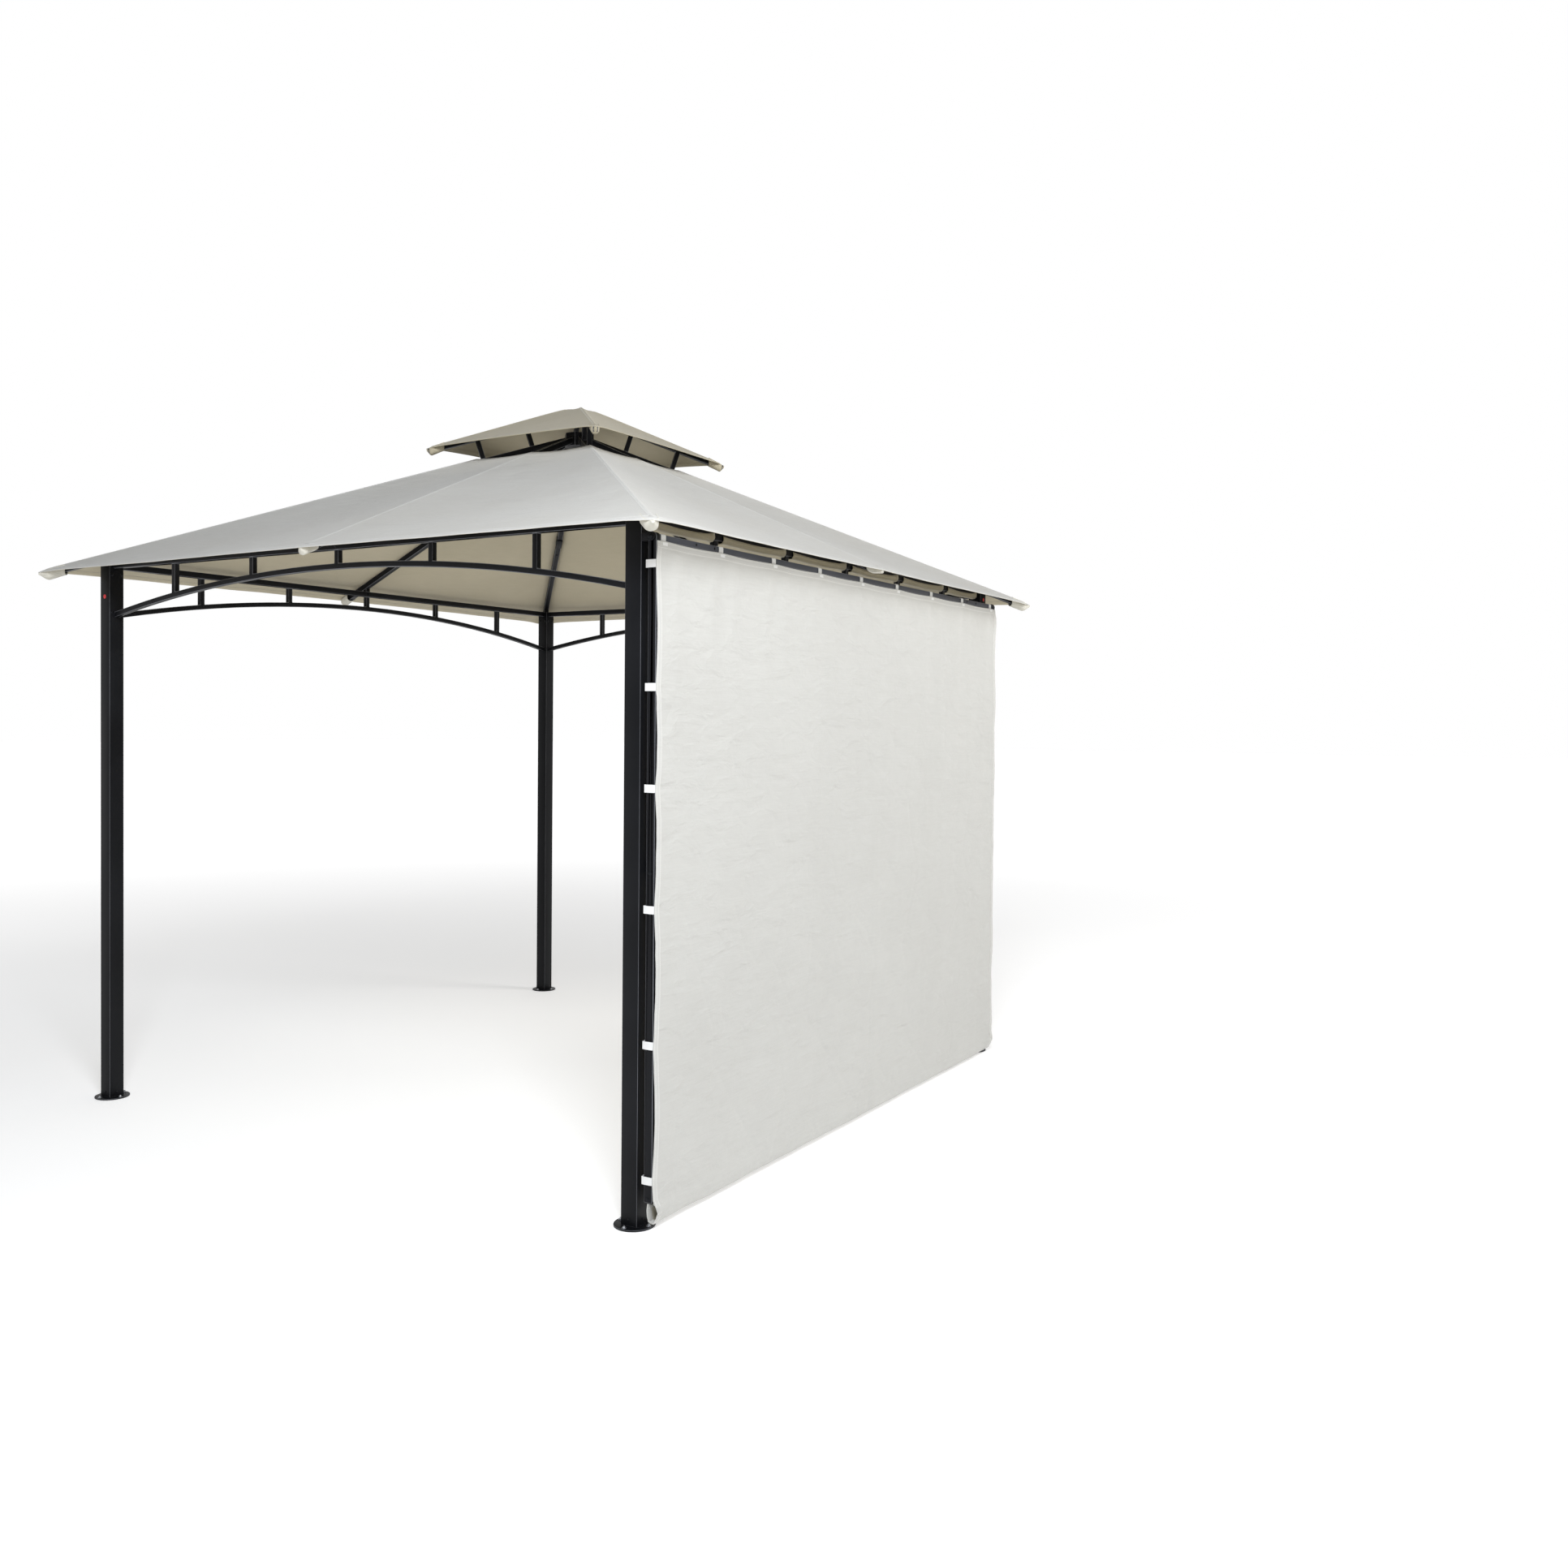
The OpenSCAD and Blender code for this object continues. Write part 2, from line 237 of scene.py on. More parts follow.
def woven(name, colour, shade, pitch=0.0012, crumple=1.0, stitch=False):
    """Woven polyester: weave, soft crumple, mottled tone, packing folds, and stitch rows on seams."""
    m, shader, tree, place = material(name)
    mottle = clouds(tree, place, 2.3, 6.0, [("Roughness", 0.62)])
    tone = ramp(tree, mottle, [(0.30, shade), (0.62, colour)])
    slub = add(tree, "ShaderNodeMapping", [("Vector", place), ("Scale", (9.0, 9.0, 260.0))])
    threads = clouds(tree, slub.outputs[0], 1.0, 3.0)
    thread_tone = ramp(tree, threads, [(0.35, (0.95, 0.95, 0.945)), (0.65, WHITE)])
    base = mix_colour(tree, 0.6, tone, thread_tone, "MULTIPLY")
    height = weave(tree, place, pitch)
    if stitch:
        base, height = stitch_rows(tree, base, height)
    stretch = add(tree, "ShaderNodeMapping", [("Vector", place), ("Scale", (1.0, 1.0, 2.6))])
    crease = clouds(tree, stretch.outputs[0], 7.0, 4.0, [("Distortion", 0.6)])
    cells = add(tree, "ShaderNodeTexVoronoi", [("Vector", place), ("Scale", 2.4)],
                feature="DISTANCE_TO_EDGE")
    packed = ramp(tree, cells.outputs["Distance"], [(0.0, (0.4, 0.4, 0.4)), (0.035, WHITE)])
    normal = bump(tree, crease, 0.35 * crumple, 0.012)
    normal = bump(tree, packed, 0.12 * crumple, 0.004, [("Normal", normal)])
    normal = bump(tree, height, 0.35, 0.0005, [("Normal", normal)])
    feed(tree, shader, [("Base Color", base), ("Normal", normal), ("Roughness", 0.78),
                        ("Sheen Weight", 0.25), ("Sheen Roughness", 0.4), ("Specular IOR Level", 0.3)])
    return m


def stitch_rows(tree, base, height):
    """Two rows of stitches along a strip whose U runs along it in metres and V across it from 0 to 1."""
    uv = add(tree, "ShaderNodeUVMap").outputs[0]
    parts = add(tree, "ShaderNodeSeparateXYZ", [(0, uv)]).outputs
    step = maths(tree, "FRACT", maths(tree, "DIVIDE", parts["X"], 0.0042))
    dash = maths(tree, "LESS_THAN", step, 0.68)
    rows = maths(tree, "MAXIMUM", *(maths(tree, "COMPARE", parts["Y"], row, 0.035) for row in (0.16, 0.84)))
    mask = maths(tree, "MULTIPLY", rows, dash)
    raised = maths(tree, "MULTIPLY_ADD", mask, 1.6, maths(tree, "MULTIPLY", rows, -0.8))
    shaded = mix_colour(tree, rows, base, (0.72, 0.71, 0.68), "MULTIPLY")
    return mix_colour(tree, mask, shaded, (0.80, 0.79, 0.75)), maths(tree, "ADD", raised, height)


STEEL = painted_steel("charcoal_powder_coat", (0.0068, 0.0072, 0.0086))
# A lighter, glossier copy of the charcoal paint for the rounded edges only: a painted edge highlight.
STEEL_EDGE_HIGHLIGHT = painted_steel("charcoal_painted_edge_highlight", (0.130, 0.134, 0.146), rough=0.34)
# A much lighter copy of the charcoal paint for the awning's rail and bars: painted light for the key light
# and glancing reflections on the rail.
AWNING_STEEL_PAINTED_LIT = painted_steel("charcoal_coat_painted_lit", (0.070, 0.074, 0.088))
# A lighter, glossier copy of the paint for the rounded edges of the awning's rail and bars: a painted edge
# highlight.
AWNING_EDGE_HIGHLIGHT = painted_steel("awning_frame_painted_edge_highlight", (0.150, 0.156, 0.175), rough=0.34)
STEEL_DARK = painted_steel("charcoal_fasteners", (0.0085, 0.0095, 0.0115), rough=0.34, grain=0.6)
ZINC = zinc("plated_steel")
CAP = plastic("black_end_caps", (0.010, 0.010, 0.011), rough=0.55)
KNOB = plastic("grey_knob", (0.30, 0.31, 0.32), rough=0.42)
RED = plastic("red_paint_dot", (0.62, 0.015, 0.02), rough=0.45)
# One beige cloth in two copies: the lower roof's outside is greyer and whiter as painted light, and the
# cloth's inside under the roofs, seams and beam flaps is warmer as painted shade.
ROOF_LIT = woven("roof_cloth_outside_painted_lit", (0.535, 0.528, 0.498), (0.510, 0.498, 0.462), crumple=1.6)
ROOF_SHADED = woven("roof_cloth_inside_painted_shade", (0.47, 0.418, 0.300), (0.435, 0.388, 0.275), crumple=0.8)
ROOF_SEAM = woven("roof_cloth_seams", (0.545, 0.540, 0.515), (0.520, 0.510, 0.480), crumple=0.4, stitch=True)
TOP = woven("top_cloth_outside", (0.400, 0.358, 0.258), (0.375, 0.335, 0.240))
TOP_SEAM = woven("top_cloth_seams", (0.400, 0.358, 0.258), (0.375, 0.335, 0.240), crumple=0.4, stitch=True)
POCKET = woven("pocket_cloth", (0.60, 0.58, 0.51), (0.55, 0.53, 0.46), crumple=0.3)
# The panel is the same beige cloth in two copies: its outside is whiter as painted light, its inside warmer
# as painted shade.
PANEL_LIT = woven("panel_cloth_outside_painted_lit", (0.512, 0.507, 0.480), (0.492, 0.486, 0.459), crumple=2.0)
PANEL_SHADED = woven("panel_cloth_inside_painted_shade", (0.53, 0.50, 0.41), (0.50, 0.47, 0.385), crumple=0.7)
PANEL_SEAM = woven("panel_cloth_hems", (0.540, 0.535, 0.510), (0.520, 0.515, 0.490), crumple=0.5, stitch=True)
WEBBING = woven("white_webbing", (0.76, 0.76, 0.75), (0.72, 0.72, 0.71), pitch=0.0022, crumple=0.1)


# ---------------------------------------------------------------- mesh helpers

def piece(name, points, faces, materials, body, uvs=None, smooth_angle=50):
    """A mesh object that rides on a CAD body. uvs are one pair for each point."""
    mesh = bpy.data.meshes.new(name)
    mesh.from_pydata([tuple(p) for p in points], [], faces)
    mesh.validate()
    mesh.update()
    for m in materials:
        mesh.materials.append(m)
    if uvs:
        layer = mesh.uv_layers.new(name="UVMap")
        for loop in mesh.loops:
            layer.data[loop.index].uv = uvs[loop.vertex_index]
    obj = bpy.data.objects.new(name, mesh)
    bpy.context.scene.collection.objects.link(obj)
    for polygon in mesh.polygons:
        polygon.use_smooth = True
    mesh.set_sharp_from_angle(angle=math.radians(smooth_angle))
    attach(obj, body)
    return obj


class Build:
    """Collects points and faces of many small shapes into one mesh."""

    def __init__(self):
        self.points, self.faces, self.uvs, self.uses = [], [], [], []

    def grid(self, rows, closed_u=False, closed_v=False, uv=None, use=0, cap=False):
        """Joins rows of points, each as long as the next, with quads."""
        base, count = len(self.points), len(rows[0])
        for i, row in enumerate(rows):
            for j, p in enumerate(row):
                self.points.append(Vector(p))
                self.uvs.append(uv(i, j) if uv else (i / max(1, len(rows) - 1), j / max(1, count - 1)))
        last_u = len(rows) if closed_u else len(rows) - 1
        last_v = count if closed_v else count - 1
        for i in range(last_u):
            for j in range(last_v):
                a, b = base + i * count, base + (i + 1) % len(rows) * count
                k = (j + 1) % count
                self.faces.append((a + j, b + j, b + k, a + k))
                self.uses.append(use(j) if callable(use) else use)
        if cap:
            self.faces.append(tuple(base + j for j in range(count)))
            end = base + (len(rows) - 1) * count
            self.faces.append(tuple(end + j for j in reversed(range(count))))
            self.uses += [use, use]

    def lathe(self, place, axis, profile, segments=20):
        """Turns a profile of (distance along the axis, radius) about an axis through a place."""
        axis = Vector(axis).normalized()
        side = axis.orthogonal().normalized()
        other = axis.cross(side)
        rows = []
        for along, radius in profile:
            rows.append([place + axis * along
                         + (side * math.cos(a) + other * math.sin(a)) * radius
                         for a in (2 * math.pi * k / segments for k in range(segments))])
        self.grid(rows, closed_v=True, cap=True)

    def make(self, name, materials, body, slot=None, smooth_angle=50):
        obj = piece(name, self.points, self.faces, materials, body, self.uvs, smooth_angle)
        for polygon, use in zip(obj.data.polygons, self.uses):
            polygon.material_index = use
        return obj


def thicken(obj, thickness, inside=None):
    """Gives an open sheet its cloth thickness, with the second material on its inner face."""
    solid = obj.modifiers.new("thickness", "SOLIDIFY")
    solid.thickness = thickness
    solid.offset = -1.0
    if inside is not None:
        solid.material_offset = inside
    return obj


# ---------------------------------------------------------------- painted steel from the CAD frame

SOFT_NODES = ("lower_canopy", "upper_canopy", "awning_cloth")


def dress_frame():
    """Gives every steel node its paint, and rounds its long edges like a rolled tube's, with a lighter paint
    on the rounded edges as a painted highlight.
    """
    for name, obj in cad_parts.items():
        if name in SOFT_NODES:
            continue
        obj.data.materials.clear()
        # The awning's rail and bars get the lighter copy of the paint, which is painted light.
        pale = name in ("awning_rail", "awning_mid_bar", "awning_end_bar")
        obj.data.materials.append(AWNING_STEEL_PAINTED_LIT if pale else STEEL)
        # The second slot goes on the bevel faces only and is the painted edge highlight.
        obj.data.materials.append(AWNING_EDGE_HIGHLIGHT if pale else STEEL_EDGE_HIGHLIGHT)
        weld = obj.modifiers.new("weld", "WELD")
        weld.merge_threshold = 0.00005
        bevel = obj.modifiers.new("rolled_edges", "BEVEL")
        bevel.width = 0.003 if name.startswith("post") else 0.0018
        if name.startswith(("plate", "hinge", "awning_lug", "strut_pivot", "top_hub", "crown_hub")):
            bevel.width = 0.0009
        bevel.segments = 3
        bevel.material = 1
        bevel.limit_method = "ANGLE"
        bevel.angle_limit = math.radians(40)
        bevel.harden_normals = True
        for polygon in obj.data.polygons:
            polygon.use_smooth = True


# ---------------------------------------------------------------- the roof cloths

def fold(distance, half):
    """A crease left from the cloth's packing: 1 on its line, 0 beyond half."""
    return max(0.0, 1 - abs(distance) / half)


def lower_roof(side, s, t):
    """Lower roof's top surface: s runs from -1 to 1 along a side, t from 0 at the vent to 1 at the eave."""
    out = VENT + (EAVE - VENT) * t
    u = abs(s)
    between = 4 * u * (1 - u)
    inward = EAVE_BOW * (1 - u) * t + 0.007 * between * t ** 4
    sag = between * (0.027 * math.sin(math.pi * min(1.0, 0.03 + 0.97 * t)) ** 0.8 + 0.003)
    lateral = s * out
    ripple = wobble(lateral * 1.1 + 7 * side, out * 7.0, side * 3.7)
    tension = wobble(lateral * 3.0, out * 2.0 + lateral * 4.0, 9.1 + side)
    folds = sum(fold(out - line, 0.016) for line in ROOF_FOLDS)
    broken = smooth(wobble(lateral * 2.3, out * 3.0, 2.9 + side), -0.15, 0.35)
    wrinkle = (0.0022 * ripple + 0.0016 * tension + 0.0016 * folds * broken) * between ** 0.5
    corner = smooth(t, 0.978, 1.0) * smooth(u, 0.93, 1.0)
    dip = 0.006 * corner + 0.003 * smooth(t, 0.99, 1.0) * (1 - corner)
    ear = 0.009 * smooth(t, 0.93, 1.0) * smooth(u, 0.91, 1.0)
    across = lateral * (1 - inward / out * u) + math.copysign(ear * u, lateral)
    return on_side(side, across, out - inward + ear,
                   APEX - SLOPE * (out - inward + ear) - sag + wrinkle - dip)


def upper_roof(side, s, t):
    """Upper roof's top surface: t runs from 0 at the peak to 1 at the edge."""
    out = max(0.0005, TOP_HALF * t)
    u = abs(s)
    between = 1 - u * u
    inward = TOP_BOW * between * t ** 3
    sag = 0.007 * between * math.sin(math.pi * min(1.0, t)) + 0.001 * between
    rounded = ((out - inward) ** 4 + CAP_R ** 4) ** 0.25
    pitch = SLOPE + TOP_RISE / TOP_HALF
    ripple = wobble(s * out * 4.0 + 5 * side, out * 9.0, side * 2.3)
    ripple *= 0.0012 * between * smooth(t, 0.1, 0.3)
    corner = 0.005 * smooth(t, 0.96, 1.0) * smooth(u, 0.9, 1.0)
    return on_side(side, s * out * (1 - inward / out * u), out - inward,
                   TOP_APEX + TOP_RISE - pitch * rounded - sag + ripple - corner)


def ring_sheet(name, surface, across, down, materials):
    """One continuous sheet round the four sides of a roof."""
    build = Build()
    rows = []
    for i in range(down + 1):
        t = i / down
        rows.append([surface(side, -1 + 2 * j / across, t) for side in SIDES for j in range(across)])
    build.grid(rows, closed_v=True)
    obj = build.make(name, materials, "frame", "roof_cloth", smooth_angle=12)
    return thicken(obj, CLOTH, 1)


def offset_line(surface, side, s, t, lift):
    """A point just above the surface, lifted along its normal."""
    here = surface(side, s, t)
    along = surface(side, min(1, s + 0.01), t) - surface(side, max(-1, s - 0.01), t)
    down = surface(side, s, min(1, t + 0.01)) - surface(side, s, max(0, t - 0.01))
    normal = along.cross(down)
    if normal.z < 0:
        normal.negate()
    return here + normal.normalized() * lift


def hem_strip(build, surface, edge_t, back_t, steps, span=1.0):
    """A turned hem along an edge: over the top, round the edge and back underneath."""
    length = 0.0
    rows, lengths, before = [], [], None
    for side in SIDES:
        for j in range(steps):
            s = span * (-1 + 2 * j / steps)
            top_in = offset_line(surface, side, s, back_t, 0.0009)
            top_edge = offset_line(surface, side, s, edge_t, 0.0011)
            away = (top_edge - top_in).normalized()
            under = Vector((0, 0, -CLOTH - 0.0022))
            rows.append([top_in, top_in.lerp(top_edge, 0.5), top_edge, top_edge + away * 0.0016 + under * 0.3,
                         top_edge + away * 0.0016 + under * 0.7, top_edge + under,
                         top_in.lerp(top_edge, 0.5) + under, top_in + under])
            length += (top_edge - before).length if before else 0.0
            before = top_edge
            lengths.append(length)
    across = (0.0, 0.5, 1.0, 1.0, 1.0, 1.0, 0.5, 0.0)
    build.grid(rows, closed_u=True, closed_v=True, uv=lambda i, j: (lengths[i], across[j]),
               use=lambda j: 1 if j in (4, 5, 6) else 0)


def ridge_strip(build, surface, side, s_of, t_from, t_to, steps):
    """A sewn seam down a hip or a side's middle. s_of gives the roof place at a distance off the line."""
    profile = ((-1.0, 0.0001), (-0.75, 0.0011), (-0.12, 0.0013), (0.0, 0.0006), (0.12, 0.0013),
               (0.75, 0.0011), (1.0, 0.0001))
    rows, length, lengths, before = [], 0.0, [], None
    for i in range(steps + 1):
        t = t_from + (t_to - t_from) * i / steps
        row = []
        for across, lift in profile:
            at_side, s = s_of(side, across * SEAM_HALF, t)
            row.append(offset_line(surface, at_side, s, t, lift))
        rows.append(row)
        length += (row[3] - before).length if before else 0.0
        before = row[3]
        lengths.append(length)
    build.grid(rows, uv=lambda i, j: (lengths[i], (profile[j][0] + 1) / 2))


def hip_place(half_at):
    """Places across the hip between one side and the next."""
    def place(side, across, t):
        share = abs(across) / half_at(t)
        return (side, 1 - share) if across < 0 else ((side + 1) % 4, -1 + share)
    return place


def middle_place(half_at):
    """Places across the middle line of one side."""
    def place(side, across, t):
        return side, across / half_at(t)
    return place


def lower_half(t):
    return VENT + (EAVE - VENT) * t


def upper_half(t):
    return max(0.03, TOP_HALF * t)


def pocket(build, surface, side, s, length, half, depth, gap, lowest=0.0):
    """A pouch sewn under the cloth's corner or edge, which slips over a rafter's end.

    gap is the distance from the cloth's edge to the end of the rafter.
    """
    tip = surface(side, s, 1)
    inward = surface(side, s, 0.92) - tip
    flat = Vector((inward.x, inward.y, 0))
    drop = inward.z / flat.length
    flat.normalize()
    across = Vector((-flat.y, flat.x, 0))
    rows = []
    steps, around = 16, 18
    for i in range(-1, steps + 1):
        k = max(0, i) / steps
        back = length * k
        shut = 0.05 if i < 0 else 1.0
        full = smooth(back, -0.25 * gap, gap * 0.85)
        wide = half * (0.16 + 0.84 * smooth(back, -0.15 * gap, gap * 0.9)) * (1 + 0.12 * k) * shut
        deep = (0.003 + (depth - 0.003) * full) * shut
        pucker = 0.0014 * k * math.sin(7.0 * k + 2.0)
        middle = tip + flat * back + Vector((0, 0, drop * back - 0.0022))
        row = []
        for j in range(around + 1):
            a = math.pi * j / around
            x = wide * math.cos(a) * (1 + 0.10 * math.sin(2 * a) ** 2)
            z = -deep * math.sin(a) ** 0.60
            p = middle + across * (x + pucker * math.sin(3 * a))
            p += Vector((0, 0, z + pucker * math.sin(2 * a)))
            p.z = max(p.z, lowest)
            row.append(p)
        rows.append(row)
    build.grid(rows)


def beam_flap(build, low, high, start, end):
    """The roof's inner flap on the awning side: down inside the top bar, round it and up its outer face."""
    steps = 26
    x_in, x_out = low.x - 0.0030, high.x + 0.0022
    bottom = BEAM_Z - 0.0030
    roof_z = APEX - SLOPE * (x_in - 0.004) - 0.024
    rows = []
    for i in range(steps + 1):
        k = i / steps
        y = start + (end - start) * k
        slackness = math.sin(math.pi * k)
        sag = 0.0045 * slackness + 0.0010 * wobble(y * 14, 0.3, 6.1)
        flare = 0.0030 * (1 - smooth(min(k, 1 - k), 0.0, 0.07))
        lip = BEAM_Z + 0.0175 - 0.006 * slackness + 0.004 * smooth(k, 0.85, 1.0)
        low_z, side_z = bottom - sag - flare, bottom + 0.006 - sag
        outline = ((x_in - 0.004, roof_z), (x_in - 0.002, (roof_z + bottom) / 2), (x_in - flare, side_z),
                   (x_in + 0.004, low_z), ((x_in + x_out) / 2, low_z - 0.0015), (x_out - 0.004, low_z),
                   (x_out + flare, side_z), (x_out + 0.0012 + flare, (bottom + lip) / 2),
                   (x_out + flare, lip))
        rows.append([Vector((x, y, z)) for x, z in outline])
    build.grid(rows)


def make_roof():
    """Both canopies with their hems, seams and pockets."""
    lower = ring_sheet("lower_canopy_cloth", lower_roof, 80, 60, [ROOF_LIT, ROOF_SHADED])
    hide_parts("lower_canopy")
    upper = ring_sheet("upper_canopy_cloth", upper_roof, 48, 26, [TOP, ROOF_SHADED])
    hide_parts("upper_canopy")

    seams = Build()
    hem_t = 1 - HEM / (EAVE - VENT)
    hem_strip(seams, lower_roof, 1.0, hem_t, 60)
    hem_strip(seams, lower_roof, 0.0, HEM / (EAVE - VENT), 24)
    for side in SIDES:
        ridge_strip(seams, lower_roof, side, hip_place(lower_half), 0.01, 0.985, 60)
        ridge_strip(seams, lower_roof, side, middle_place(lower_half), 0.01, 0.975, 60)
    lower_seams = seams.make("lower_canopy_seams", [ROOF_SEAM, ROOF_SHADED], "frame", "roof_cloth")

    top_seams = Build()
    hem_strip(top_seams, upper_roof, 1.0, 1 - HEM / TOP_HALF, 32)
    for side in SIDES:
        ridge_strip(top_seams, upper_roof, side, hip_place(upper_half), 0.10, 0.97, 24)
    upper_seams = top_seams.make("upper_canopy_seams", [TOP_SEAM, ROOF_SHADED], "frame", "roof_cloth")

    lower_pockets, upper_pockets, flaps = Build(), Build(), Build()
    for side in SIDES:
        pocket(lower_pockets, lower_roof, side, 1, 0.100, 0.0225, 0.041, 0.050)
        over_awning = ABOVE_AWNING if side == 1 else 0.0
        pocket(lower_pockets, lower_roof, side, 0, 0.058, 0.024, 0.031, 0.016, over_awning)
        pocket(upper_pockets, upper_roof, side, 1, 0.072, 0.0165, 0.034, 0.026)
    bar_low, bar_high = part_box("beam_right")
    stops = [-POST + POST_HALF] + [UPRIGHT * k for k in (-2, -1, 0, 1, 2)] + [POST - POST_HALF]
    for first, last in zip(stops, stops[1:]):
        beam_flap(flaps, bar_low, bar_high, first + 0.030, last - 0.022)
    low_pockets = thicken(lower_pockets.make("lower_canopy_pockets", [POCKET], "frame", "roof_cloth"), 0.001)
    high_pockets = thicken(upper_pockets.make("upper_canopy_pockets", [TOP], "frame", "roof_cloth"), 0.001)
    bar_flaps = thicken(flaps.make("lower_canopy_bar_flaps", [ROOF_SHADED], "frame", "roof_cloth"), 0.001)


# ---------------------------------------------------------------- the hinged panel

PANEL_TOP = panel_high.z
PANEL_HALF = panel_high.y + 0.010
PANEL_FACE = panel_low.x  # the cloth's inner face lies here, on the arms
FLAP_DOWN = 0.056  # the flap hangs this far below the arms, then curls in and up
CURL_R = 0.0125
CURL_BACK = 0.050
FLAT_LENGTH = PANEL_TOP - ARM_FOOT + FLAP_DOWN + math.pi * CURL_R + CURL_BACK
tab_places = [HINGE_Z - d for d in ARM_TABS]


def slack(value, places):
    """0 at a tab and 1 half way to the next one."""
    ordered = sorted(places)
    if value <= ordered[0] or value >= ordered[-1]:
        edge = ordered[0] if value <= ordered[0] else ordered[-1]
        return min(1.0, abs(value - edge) / 0.16)
    for a, b in zip(ordered, ordered[1:]):
        if a <= value <= b:
            return math.sin(math.pi * (value - a) / (b - a))
    return 0.0


def panel_point(y, down):
    """The panel's outer face: y runs along the rail, down is the cloth's own length below its top edge."""
    side = y / PANEL_HALF
    z = PANEL_TOP - down
    near_top = math.exp(-down / 0.06)
    rail_slack = slack(y, RAIL_TABS)
    edge_slack = slack(max(z, ARM_FOOT), tab_places)
    edge = smooth(abs(side), 0.86, 1.0)
    away = smooth(down, 0.13, 0.45)  # stays flat near the hinge, where the eave passes close
    middle = 1 - smooth(abs(side), 0.82, 1.0)
    x = PANEL_FACE + CLOTH + 0.0006
    # Folds that fan down from the rail's tabs
    fan = math.exp(-down / 0.34) * smooth(down, 0.0, 0.05)
    x += 0.0060 * fan * (0.5 - 0.5 * math.cos(2 * math.pi * (1 - rail_slack) * 0.9 + 3.0 * down)) ** 1.6
    # Long soft waves over the hanging cloth
    x += away * middle * 0.0050 * (0.5 + 0.5 * wobble(y * 1.4, z * 0.9, 4.2))
    x += away * 0.0016 * (0.5 + 0.5 * wobble(y * 6.0, z * 1.3, 1.7))
    x += away * 0.0012 * (0.5 + 0.5 * wobble(y * 2.0 + z, z * 9.0, 7.3))
    # Creases from the packing, worn away in places
    packed = max(fold((z + 0.06) % 0.37 - 0.185, 0.024), fold((y + 0.11) % 0.46 - 0.23, 0.024))
    x += away * 0.0017 * packed * smooth(wobble(y * 2.1, z * 2.1, 3.3), -0.25, 0.25)
    # Short creases along the side edges, where the arm tabs pull
    pull = wobble(abs(y) * 3.0, z * 16.0, 2.2 + side)
    slanted = wobble(abs(y) * 2.0 + z * 5.0, z * 7.0, 6.1 + side)
    x += away * edge * (0.0030 * (0.5 + 0.5 * pull) + 0.0040 * (0.5 + 0.5 * slanted))
    z -= 0.0035 * near_top * rail_slack
    y_out = y - math.copysign(0.010 * edge * edge_slack * smooth(down, 0.0, 0.03), y)
    y_out -= math.copysign(0.008 * edge * (1 - smooth(down, 0.0, 0.05)), y)
    return x, y_out, z


def flap_point(y, past):
    """The loose flap below the arms: down, round a curl and back up inside. past is length below the arms."""
    start_x, start_y, start_z = panel_point(y, PANEL_TOP - ARM_FOOT)
    wave = wobble(y * 2.6, 0.3, 8.8)
    ripple = wobble(y * 8.0, 1.3, 5.5)
    near = smooth(-y, PANEL_HALF - 0.12, PANEL_HALF)
    far = smooth(y, PANEL_HALF - 0.12, PANEL_HALF)
    ends = near + far
    radius = CURL_R * (0.80 + 0.08 * wave)
    drop = FLAP_DOWN + 0.003 * ripple - (radius - CURL_R)
    belly = 0.003 + 0.003 * wave + 0.008 * near + 0.005 * far
    lean = -0.003 - 0.003 * ends
    share = min(1.0, past / drop)
    tuck = (0.014 * near + 0.010 * far) * math.sin(math.pi * min(1.0, past / (2 * drop)))
    if past <= drop:
        x = start_x + belly * math.sin(math.pi * share ** 0.8) + lean * share ** 2
        z = start_z - past
    else:
        bend = min(math.pi, (past - drop) / radius)
        x = start_x + lean - radius * (1 - math.cos(bend))
        z = start_z - drop - radius * math.sin(bend)
        back = past - drop - math.pi * radius
        if back > 0:
            risen = back / CURL_BACK
            x += 0.003 * risen - 0.001 * ends * math.sin(math.pi * min(1.0, risen))
            z += back * 0.98
    return x + 0.0010 * ripple * share, start_y - math.copysign(tuck, y), z


